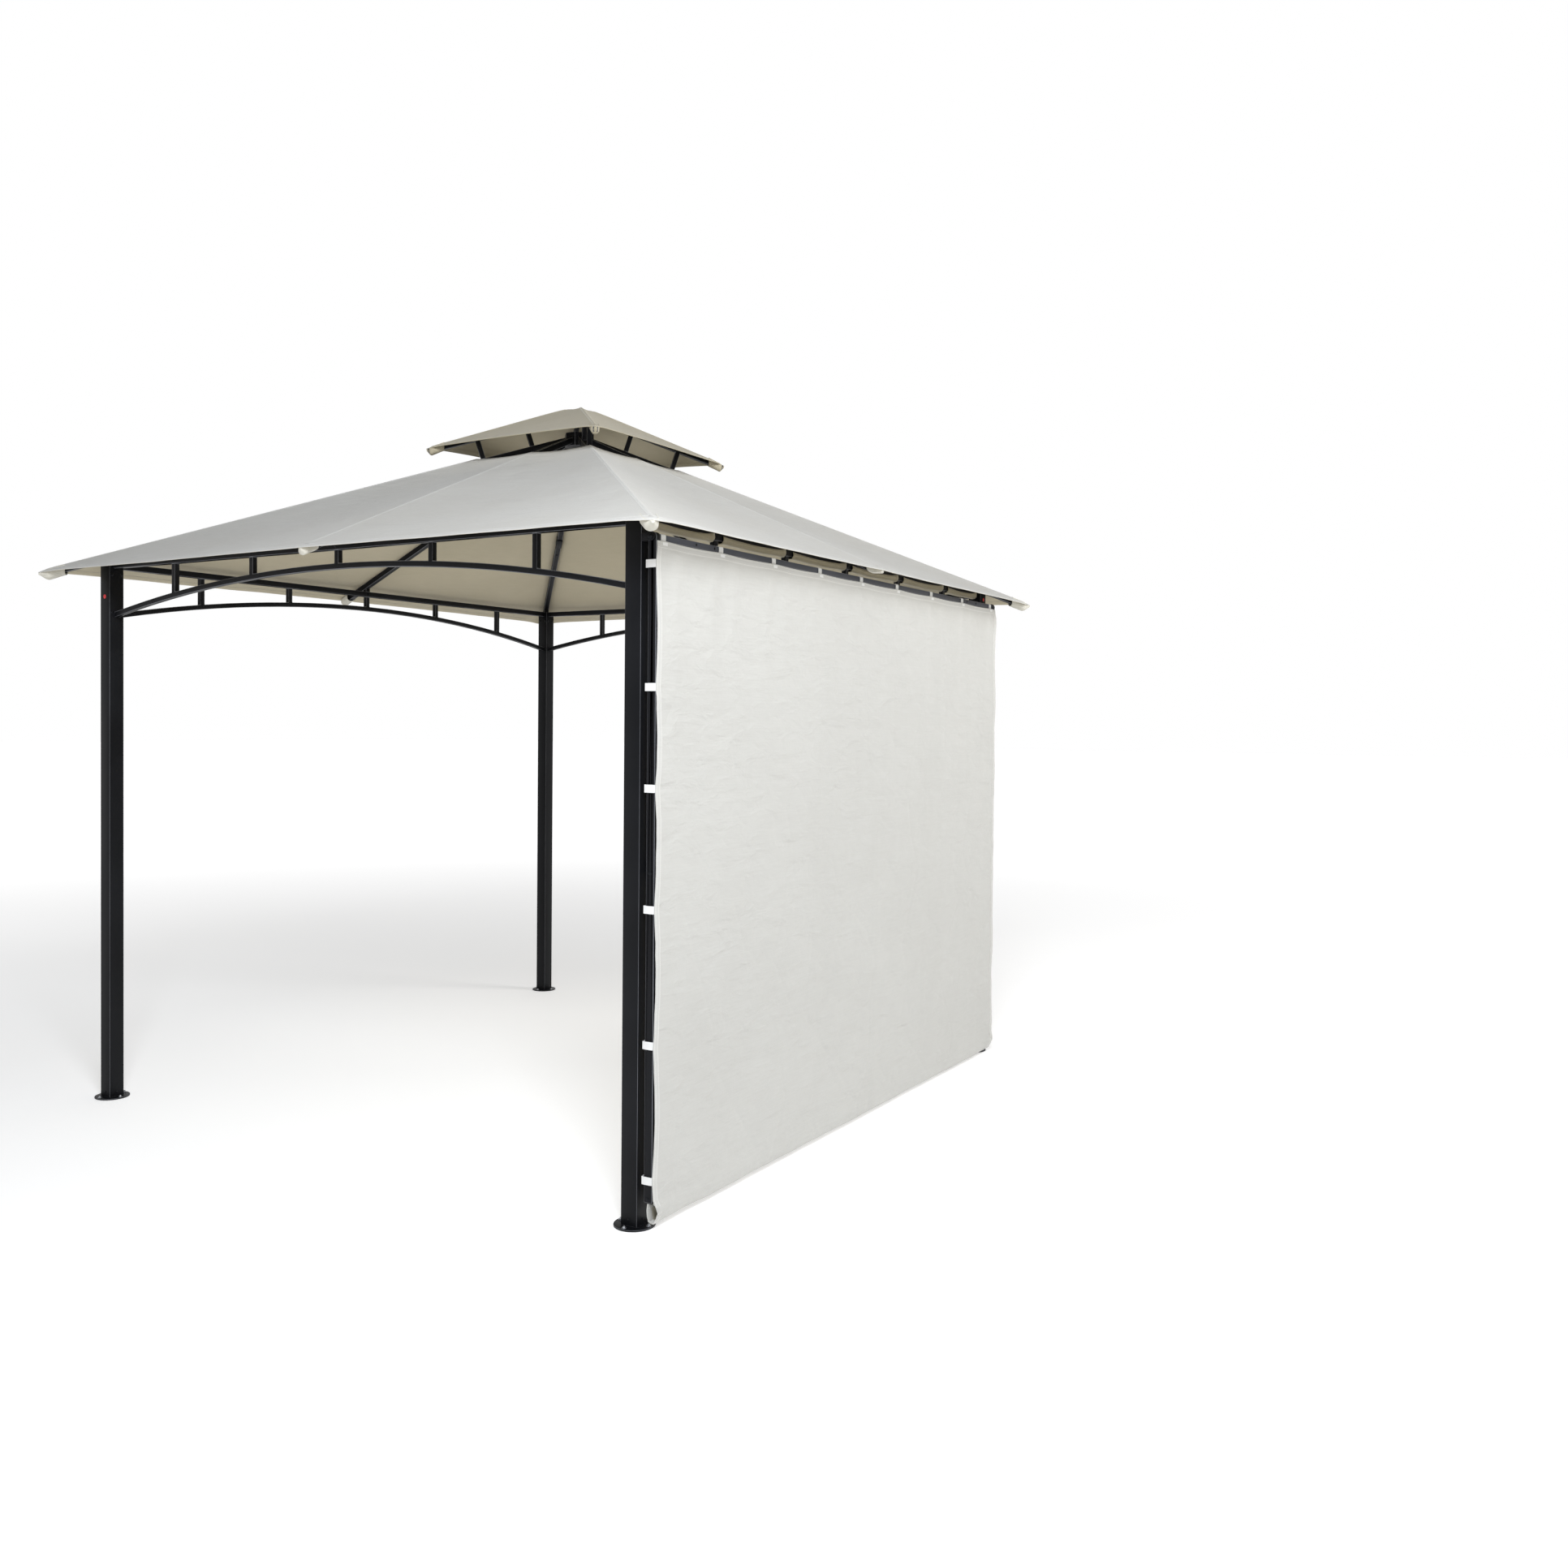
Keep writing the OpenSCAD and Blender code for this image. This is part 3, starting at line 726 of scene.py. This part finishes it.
def make_panel():
    """The hanging cloth, its hems and its webbing tabs."""
    across, down, curl = 132, 96, 22
    height = PANEL_TOP - ARM_FOOT
    lengths = [height * i / down for i in range(down + 1)]
    lengths += [height + (FLAT_LENGTH - height) * (i + 1) / curl for i in range(curl)]

    def surface(y, length):
        return Vector(panel_point(y, length) if length <= height else flap_point(y, length - height))

    def y_at(j):
        s = -1 + 2 * j / across
        return PANEL_HALF * math.copysign(abs(s) ** 0.92, s)  # closer rows near the sides

    build = Build()
    build.grid([[surface(y_at(j), length) for j in range(across + 1)] for length in lengths],
               uv=lambda i, j: (y_at(j), lengths[i]))
    cloth = build.make("awning_panel_cloth", [PANEL_LIT, PANEL_SHADED], "awning", "panel_cloth", smooth_angle=60)
    thicken(cloth, CLOTH, 1)
    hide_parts("awning_cloth")

    hems = Build()
    band = 0.022

    def outer(y, length, lift):
        here = surface(y, length)
        along = surface(min(PANEL_HALF, y + 0.004), length) - surface(max(-PANEL_HALF, y - 0.004), length)
        downward = surface(y, min(FLAT_LENGTH, length + 0.004)) - surface(y, max(0, length - 0.004))
        return here + downward.cross(along).normalized() * lift

    def hem(line, steps):
        """line(k, across) gives (y, length) at a share k of the way and a share across the band."""
        rows, total, marks, before = [], 0.0, [], None
        for i in range(steps + 1):
            k = i / steps
            inner_y, inner_l = line(k, 0.0)
            edge_y, edge_l = line(k, 1.0)
            inner, edge = outer(inner_y, inner_l, 0.0008), outer(edge_y, edge_l, 0.0008)
            away = (edge - inner).normalized()
            back_inner = outer(inner_y, inner_l, -CLOTH - 0.0006)
            back_edge = outer(edge_y, edge_l, -CLOTH - 0.0006)
            rows.append([inner, inner.lerp(edge, 0.5), edge, edge + away * 0.0014,
                         back_edge + away * 0.0014, back_edge, back_inner])
            total += (edge - before).length if before else 0.0
            before = edge
            marks.append(total)
        share = (0.0, 0.5, 1.0, 1.0, 1.0, 1.0, 0.0)
        hems.grid(rows, closed_v=True, uv=lambda i, j: (marks[i], share[j]), cap=True)

    hem(lambda k, a: (PANEL_HALF * (-1 + 2 * k), band * (1 - a)), 120)
    hem(lambda k, a: (PANEL_HALF * (-1 + 2 * k), FLAT_LENGTH - band * 0.8 * (1 - a)), 120)
    for sign in (-1, 1):
        hem(lambda k, a, sign=sign: (sign * (PANEL_HALF - band * (1 - a)), FLAT_LENGTH * k), 110)
    panel_hems = hems.make("awning_panel_hems", [PANEL_SEAM], "awning", "panel_cloth")

    tabs = Build()
    for y in RAIL_TABS:
        rail_loop(tabs, y, rail_low, rail_high, surface, 0.012)
    for count, reach, low, high in ((8, 1.13, mid_low, mid_high), (7, 1.14, end_low, end_high)):
        for k in range(count):
            bar_loop(tabs, reach * (-1 + 2 * k / (count - 1)), low, high)
    for sign in (-1, 1):
        for z in tab_places:
            arm_loop(tabs, sign, z)
    panel_tabs = tabs.make("awning_webbing_tabs", [WEBBING], "awning", "panel_cloth", smooth_angle=40)


def band(build, path, width_axis):
    """A flat webbing strap that follows a path, with its two faces and edges."""
    rows = []
    wide = width_axis * (TAB_WIDTH / 2)
    for i, p in enumerate(path):
        run = (path[min(len(path) - 1, i + 1)] - path[max(0, i - 1)]).normalized()
        out = run.cross(width_axis).normalized() * (TAB_THICK / 2)
        rows.append([p + wide + out, p + out, p - wide + out, p - wide - out, p - out, p + wide - out])
    build.grid(rows, closed_v=True, cap=True)


def loop_path(low, high, gap, start, end):
    """Rounded (x, z) places round a bar's outline, from start to end angles in degrees."""
    middle, half = (low + high) / 2, (high - low) / 2
    path, steps, corner = [], 30, 5.0
    for i in range(steps + 1):
        angle = math.radians(start + (end - start) * i / steps)
        c, s = math.cos(angle), math.sin(angle)
        reach = (abs(c / (half.x + gap)) ** corner + abs(s / (half.z + gap)) ** corner) ** (-1 / corner)
        path.append((middle.x + c * reach, middle.z + s * reach))
    return path


def rail_loop(build, y, low, high, surface, overlap):
    """A tab over the top rail, sewn to both faces of the cloth's top edge."""
    front = surface(y, overlap)
    back_x = front.x - CLOTH - TAB_THICK - 0.0003
    path = [(front.x + 0.0012, front.z), (front.x + 0.0010, front.z + overlap * 0.8)]
    path += loop_path(low, high, 0.0016, -62, 242)
    path += [(back_x, front.z + overlap * 0.7), (back_x, front.z + 0.004)]
    band(build, [Vector((x, y, z)) for x, z in path], Vector((0, 1, 0)))


def bar_loop(build, y, low, high):
    """A tab round a bar behind the cloth, sewn to the cloth's inner face above and below the bar."""
    face = PANEL_FACE - TAB_THICK / 2 - 0.0004
    path = [(face, high.z + 0.024), (face, high.z + 0.006)]
    path += loop_path(low, high, 0.0014, 78, 282)
    path += [(face, low.z - 0.006), (face, low.z - 0.024)]
    band(build, [Vector((x, y, z)) for x, z in path], Vector((0, 1, 0)))


def arm_loop(build, sign, z):
    """A tab round an arm, from the cloth's outer edge back behind the arm to its inner face."""
    low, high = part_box("awning_arm_front" if sign < 0 else "awning_arm_rear")
    middle = (low + high) / 2
    half_x, half_y = (high.x - low.x) / 2 + 0.0022, (high.y - low.y) / 2 + 0.0022
    back_x, front_x = middle.x - half_x, middle.x + half_x
    outer, inner = middle.y + sign * half_y, middle.y - sign * half_y
    face = PANEL_FACE + CLOTH + 0.0014
    behind = PANEL_FACE - 0.0016
    path = ((face, middle.y - sign * 0.006), (face, middle.y + sign * 0.004),
            (face - 0.001, outer - sign * 0.002), (face - 0.005, outer + sign * 0.0006),
            (middle.x, outer + sign * 0.001), (middle.x - half_x * 0.7, outer + sign * 0.0014),
            (back_x - 0.004, outer), (back_x - 0.006, middle.y), (back_x - 0.003, inner),
            (middle.x, inner - sign * 0.0006), (front_x - 0.004, inner - sign * 0.0006),
            (behind, inner - sign * 0.006), (behind, inner - sign * 0.020))
    band(build, [Vector((x, y, z)) for x, y in path], Vector((0, 0, 1)))


# ---------------------------------------------------------------- small hardware

def bolt(build, place, axis, radius, height=0.0035, washer=True):
    """A domed bolt head on a washer, standing on a face."""
    if washer:
        build.lathe(place, axis, [(0, radius * 1.5), (0.0009, radius * 1.5), (0.0013, radius * 1.35)])
    build.lathe(place, axis, [(0.0008, radius), (height * 0.55, radius), (height * 0.85, radius * 0.8),
                              (height, radius * 0.35)], 18)


def hexagon(build, place, axis, radius, height):
    """A hexagon nut with a rounded end of thread in it."""
    build.lathe(place, axis, [(0, radius * 1.35), (0.001, radius * 1.35)])
    build.lathe(place, axis, [(0.001, radius * 0.94), (0.0018, radius), (height * 0.85, radius),
                              (height, radius * 0.9)], 6)
    build.lathe(place, axis, [(height, radius * 0.5), (height + 0.002, radius * 0.5),
                              (height + 0.003, radius * 0.35)], 14)


def square_sleeve(build, middle, axis, side, size, length, lip=0.001):
    """A square collar round a tube, with softened ends. side is one of the tube's own cross directions."""
    axis, side = axis.normalized(), side.normalized()
    other = axis.cross(side)
    rows = []
    for along, grow in ((-0.5, -lip), (-0.47, 0), (0.47, 0), (0.5, -lip)):
        row = []
        for a, b in ((-1, -1), (1, -1), (1, 1), (-1, 1)):
            for da, db in (((0.86, 1), (1, 0.86)) if a * b < 0 else ((1, 0.86), (0.86, 1))):
                half = size / 2 + grow
                row.append(middle + axis * along * length + side * a * da * half + other * b * db * half)
        rows.append(row)
    build.grid(rows, closed_v=True, cap=True)


def make_frame_hardware():
    """Bolts and screws that hold the frame together."""
    build = Build()
    inner, outer = POST - POST_HALF, POST + POST_HALF
    for side in SIDES:
        out = on_side(side, 0, 1, 0)
        for sign in (-1, 1):
            inward = on_side(side, -sign, 0, 0)
            # Bolts beside the beam's top bar and its arch, on the faces the posts turn to each other
            for z in (ARCH_END_Z + 0.018, BEAM_Z - 0.026):
                for off in (0.020, -0.020):
                    bolt(build, on_side(side, sign * inner, POST + off, z), inward, 0.0042, 0.003)
            # Screws low on the posts, into the spigots of the base plates
            bolt(build, on_side(side, sign * POST, outer, 0.024), out, 0.0040, 0.0022, washer=False)
            bolt(build, on_side(side, sign * inner, POST, 0.024), inward, 0.0040, 0.0022, washer=False)
        bolt(build, on_side(side, 0, POST + BAR_HALF, BEAM_Z + BAR_HALF), out, 0.0042)
        hexagon(build, on_side(side, 0, POST - BAR_HALF, BEAM_Z + BAR_HALF), -out, 0.0048, 0.004)
        for k in (-2, -1, 1, 2):
            place = on_side(side, UPRIGHT * k, POST + BAR_HALF, BEAM_Z + BAR_HALF)
            bolt(build, place, out, 0.0030, 0.0018, washer=False)
        # Bolts up through each hip rafter, inside its post, and through the crown's sockets
        for distance in (1.15, 0.29, 0.17):
            bolt(build, hip_bottom(side, distance), HIP_DOWN[side], 0.0046, 0.0034)
    build.make("frame_bolts", [STEEL_DARK], "frame", "steel")

    sockets = Build()
    for side in SIDES:
        along = hip_bottom(side, 0.30) - hip_bottom(side, 0.20)
        level = Vector((-along.y, along.x, 0))
        # Each sits a little low on its rafter, clear of the cloth
        for distance, lowered, wall, length in ((0.145, 0.0030, 0.0045, 0.120),
                                                (1.02, 0.0034, 0.0040, 0.090)):
            middle = hip_bottom(side, distance) - HIP_DOWN[side] * (HIP_HALF - lowered)
            square_sleeve(sockets, middle, along, level, 2 * HIP_HALF + wall, length)
    sockets.make("rafter_sockets", [STEEL], "frame", "steel")

    peak = Build()
    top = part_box("top_hub")[1].z
    dome = [(-0.004, 0.0405), (0.004, 0.0440), (0.0085, 0.0400), (0.0122, 0.0300), (0.0140, 0.0150),
            (0.0145, 0.0050)]
    peak.lathe(Vector((0, 0, top)), (0, 0, 1), dome, 40)
    peak.make("peak_cap", [CAP], "frame", "steel")

    anchors = Build()
    for x in (-POST, POST):
        for y in (-POST, POST):
            for a in range(4):
                around = on_side(a, 0, -ANCHOR_PITCH, 0)
                hexagon(anchors, Vector((x, y, PLATE_TOP)) + around, (0, 0, 1), 0.0058, 0.0050)
    anchors.make("anchor_bolts", [ZINC], "frame", "steel")

    dots = Build()
    sticker(dots, Vector((-POST - 0.002, -outer, POST_TOP - 0.138)), (0, -1, 0))
    sticker(dots, Vector((outer, POST + 0.004, POST_TOP - 0.032)), (1, 0, 0))
    dots.make("red_dots", [RED], "frame", "steel")


def sticker(build, place, axis, size=0.0085):
    """A small plain dot of red paint."""
    build.lathe(place, axis, [(0.0, size), (0.0005, size), (0.0008, size * 0.7)], 20)


def make_knobs():
    """A round hand knob with a small latch lever, on the inner face of each awning-side post."""
    knobs, levers = Build(), Build()
    for sign in (-1, 1):
        axis = Vector((0, -sign, 0))
        place = Vector((POST, sign * (POST - POST_HALF), POST_TOP - 0.219))
        profile = [(0.0, 0.016), (0.002, 0.022), (0.0035, 0.025), (0.009, 0.0252), (0.0112, 0.0235),
                   (0.0120, 0.020), (0.0108, 0.014), (0.0108, 0.006), (0.0120, 0.004)]
        knobs.lathe(place, axis, profile, 48)
        rows = []
        for i in range(9):
            k = i / 8
            spine = place + Vector((-0.006 - 0.034 * k, 0, 0.004 + 0.030 * k))
            spine += axis * (0.0135 + 0.002 * math.sin(math.pi * k))
            wide = Vector((0.7, 0, 0.7)) * (0.0050 - 0.0018 * k)
            rows.append([spine + wide * math.cos(a) + axis * 0.0022 * math.sin(a)
                         for a in (2 * math.pi * j / 12 for j in range(12))])
        levers.grid(rows, closed_v=True, cap=True)
    knobs.make("post_knobs", [KNOB], "frame", "steel")
    levers.make("post_knob_levers", [ZINC], "frame", "steel")


def make_awning_hardware():
    """Pin nuts, rail and bar bolts, lug bolts, end caps and the dots on the swinging frame."""
    pins, bolts, caps, dots = Build(), Build(), Build(), Build()
    for sign in (-1, 1):
        out = Vector((0, sign, 0))
        place = Vector((HINGE_X, sign * (POST + POST_HALF), HINGE_Z))
        pins.lathe(place, out, [(0, 0.0090), (0.0012, 0.0090), (0.0014, 0.0072), (0.0055, 0.0072),
                                (0.0080, 0.0058), (0.0092, 0.0030)], 24)
        for y in (1.022, 1.125):
            bolt(bolts, Vector((rail_high.x, sign * y, HINGE_Z)), (1, 0, 0), 0.0040, 0.0026, washer=False)
        arm_in, arm_out = ARM_Y - ARM_HALF, ARM_Y + ARM_HALF
        for bar in ("awning_mid_bar", "awning_end_bar"):
            bolt(bolts, Vector((HINGE_X, sign * arm_out, centre(bar).z)), out, 0.0040, 0.0016)
        low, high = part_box("awning_lug_front" if sign < 0 else "awning_lug_rear")
        rod_low, rod_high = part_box("strut_rod_front" if sign < 0 else "strut_rod_rear")
        eye = Vector(((rod_low.x + rod_high.x) / 2, 0, rod_low.z + (rod_high.x - rod_low.x) / 2))
        bolt(bolts, Vector((eye.x, high.y, eye.z)), (0, 1, 0), 0.0050, 0.0036)
        hexagon(bolts, Vector((eye.x, low.y, eye.z)), (0, -1, 0), 0.0056, 0.0040)
        # Plastic plugs close the arms' lower ends
        x0, x1 = arm_low.x + 0.0006, arm_high.x - 0.0006
        y0, y1 = sign * arm_in, sign * arm_out
        rim = [(x0, y0), (x1, y0), (x1, y1), (x0, y1)]
        middle = Vector(((x0 + x1) / 2, (y0 + y1) / 2, 0))
        rows = []
        for drop, k in ((-0.0005, 1.0), (0.0022, 1.0), (0.0032, 0.92), (0.0034, 0.55)):
            foot = Vector((0, 0, ARM_FOOT - drop))
            rows.append([middle + (Vector((x, y, 0)) - middle) * k + foot for x, y in rim])
        caps.grid(rows, closed_v=True, cap=True)
    sticker(dots, Vector((arm_low.x, -ARM_Y, HINGE_Z - 1.980)), (-1, 0, 0), 0.0070)
    sleeve = Build()
    for sign in (-1, 1):
        middle = centre("awning_mid_bar") + Vector((0, sign * (ARM_Y - 0.030), 0))
        size = mid_high.z - mid_low.z + 0.0020
        square_sleeve(sleeve, middle, Vector((0, 1, 0)), Vector((1, 0, 0)), size, 0.040)
    pins.make("hinge_nuts", [STEEL_DARK], "frame", "steel")
    bolts.make("awning_bolts", [STEEL_DARK], "awning", "steel")
    caps.make("arm_end_caps", [CAP], "awning", "steel")
    dots.make("awning_red_dot", [RED], "awning", "steel")
    sleeve.make("mid_bar_sleeves", [AWNING_STEEL_PAINTED_LIT], "awning", "steel")


def make_strut_hardware():
    """A bushing at each strut tube's mouth, a joint line near its pivot and a small stop screw."""
    for end in ("front", "rear"):
        low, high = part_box("strut_tube_" + end)
        middle = (low + high) / 2
        size = high.x - low.x
        bushing, seam = Build(), Build()
        up, across = Vector((0, 0, 1)), Vector((1, 0, 0))
        mouth = Vector((middle.x, middle.y, low.z + 0.010))
        square_sleeve(bushing, mouth, up, across, size + 0.0030, 0.020)
        joint = Vector((middle.x, middle.y, high.z - size / 2 - 0.090))
        square_sleeve(seam, joint, up, across, size + 0.0008, 0.0024, lip=0.0003)
        bolt(seam, Vector((low.x, middle.y, low.z + 0.050)), (-1, 0, 0), 0.0036, 0.0026)
        bushing.make("strut_bushing_" + end, [CAP], "strut_tube_" + end, "steel")
        seam.make("strut_seam_" + end, [STEEL_DARK], "strut_tube_" + end, "steel")


beam_low, beam_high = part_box("beam_front")
BAR_HALF = (beam_high.y - beam_low.y) / 2
BEAM_Z = POST_TOP - 2 * BAR_HALF
ARCH_END_Z = beam_low.z
PLATE_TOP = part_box("plate_front_right")[0].z + 0.005
ANCHOR_PITCH = 0.053
UPRIGHT = 2 * POST * 0.173
HIP_HALF = 0.0125
HIP_DROP = 0.003 + HIP_HALF * SLOPE / math.sqrt(2)
HIP_DOWN = []
for k in SIDES:
    d = on_side(k, 1, 1, 0) / math.sqrt(2)
    HIP_DOWN.append(Vector((-d.x * SLOPE / math.sqrt(2), -d.y * SLOPE / math.sqrt(2), -1)).normalized())


def hip_bottom(side, distance):
    """The middle of a hip rafter's lower face, at a plan distance from the centre."""
    share = distance / math.sqrt(2)
    top = on_side(side, share, share, APEX - SLOPE * share)
    return top + Vector((0, 0, -HIP_DROP)) + HIP_DOWN[side] * 2 * HIP_HALF


def make_camera():
    """The camera stands outside the front right post, a little below the eaves."""
    data = bpy.data.cameras.new("camera")
    data.sensor_width = 36.0
    data.lens = 30.93
    data.shift_y = -0.0216
    data.clip_end = 200
    cam = bpy.data.objects.new("camera", data)
    bpy.context.scene.collection.objects.link(cam)
    yaw, pitch, roll = math.radians(-30.699), math.radians(-1.096), math.radians(0.522)
    forward = Vector((math.sin(yaw) * math.cos(pitch), math.cos(yaw) * math.cos(pitch), math.sin(pitch)))
    level = Vector((math.cos(yaw), -math.sin(yaw), 0))
    above = level.cross(forward)
    right = math.cos(roll) * level + math.sin(roll) * above
    up = -math.sin(roll) * level + math.cos(roll) * above
    turn = Matrix((right, up, -forward)).transposed().to_4x4()
    cam.matrix_world = Matrix.Translation((3.7914, -4.6129, 1.5338)) @ turn
    bpy.context.scene.camera = cam


def area_light(name, place, target, size, power, colour):
    data = bpy.data.lights.new(name, "AREA")
    data.shape = "RECTANGLE"
    data.size, data.size_y = size
    data.energy = power
    data.color = colour
    light = bpy.data.objects.new(name, data)
    light.location = place
    light.rotation_euler = (Vector(target) - Vector(place)).to_track_quat("-Z", "Y").to_euler()
    bpy.context.scene.collection.objects.link(light)


BACKDROP = (-0.51, 0.86, 0.0)  # the white wall stands this way, behind the pergola
# Brightness of the walls by height
ROOM = [(z, (v, v, v)) for z, v in ((0.0, 0.88), (0.12, 0.60), (0.30, 0.36), (0.55, 0.12), (0.70, 0.03))]
FLOOR_GLOW = 0.46  # the floor's own light near the middle; it rises with distance
FLOOR_HALF = 80.0


def make_studio():
    """A plain pale floor, a white wall behind in a dimmer room, and two large soft lamps."""
    m, shader, tree, place = material("studio_floor")
    haze = clouds(tree, place, 0.4, 2.0)
    tone = ramp(tree, haze, [(0.3, (0.80, 0.80, 0.80)), (0.7, (0.82, 0.82, 0.82))])
    distance = add(tree, "ShaderNodeVectorMath", [(0, place)], operation="LENGTH")
    glow = add(tree, "ShaderNodeMapRange", [("Value", distance.outputs["Value"]), ("From Min", 2.5),
                                            ("From Max", 11.0), ("To Min", FLOOR_GLOW), ("To Max", 0.90)])
    feed(tree, shader, [("Base Color", tone), ("Roughness", 0.9), ("Specular IOR Level", 0.1),
                        ("Emission Color", (1, 1, 1, 1)), ("Emission Strength", glow.outputs[0])])
    mesh = bpy.data.meshes.new("floor")
    corners = [on_side(side, FLOOR_HALF, FLOOR_HALF, -0.001) for side in SIDES]
    mesh.from_pydata(corners, [], [(0, 1, 2, 3)])
    mesh.materials.append(m)
    floor = bpy.data.objects.new("floor", mesh)
    bpy.context.scene.collection.objects.link(floor)

    world = bpy.data.worlds.new("studio")
    world.use_nodes = True
    tree = world.node_tree
    heading = add(tree, "ShaderNodeTexCoord").outputs["Generated"]
    parts = add(tree, "ShaderNodeSeparateXYZ", [(0, heading)])
    low = ramp(tree, parts.outputs["Z"], [(0.50, WHITE), (0.62, BLACK)])
    toward = add(tree, "ShaderNodeVectorMath", [(0, heading), (1, BACKDROP)], operation="DOT_PRODUCT")
    wall = ramp(tree, toward.outputs["Value"], [(0.58, BLACK), (0.72, WHITE)])
    room = ramp(tree, parts.outputs["Z"], ROOM)
    glow = mix_colour(tree, maths(tree, "MULTIPLY", low, wall), room, WHITE)
    feed(tree, tree.nodes["Background"], [("Color", glow), ("Strength", 1.0)])
    bpy.context.scene.world = world
    bpy.context.scene.view_settings.view_transform = "Standard"
    area_light("key", (3.6, -4.2, 4.6), (0.6, -0.9, 2.0), (1.8, 1.8), 312, (0.955, 0.985, 1.03))
    area_light("rear_fill", (5.5, 3.5, 4.5), (1.0, 0.5, 1.5), (2.5, 2.5), 190, (1.0, 0.985, 0.95))


dress_frame()
make_roof()
make_panel()
make_frame_hardware()
make_knobs()
make_awning_hardware()
make_strut_hardware()
make_studio()
make_camera()

bpy.context.view_layer.update()
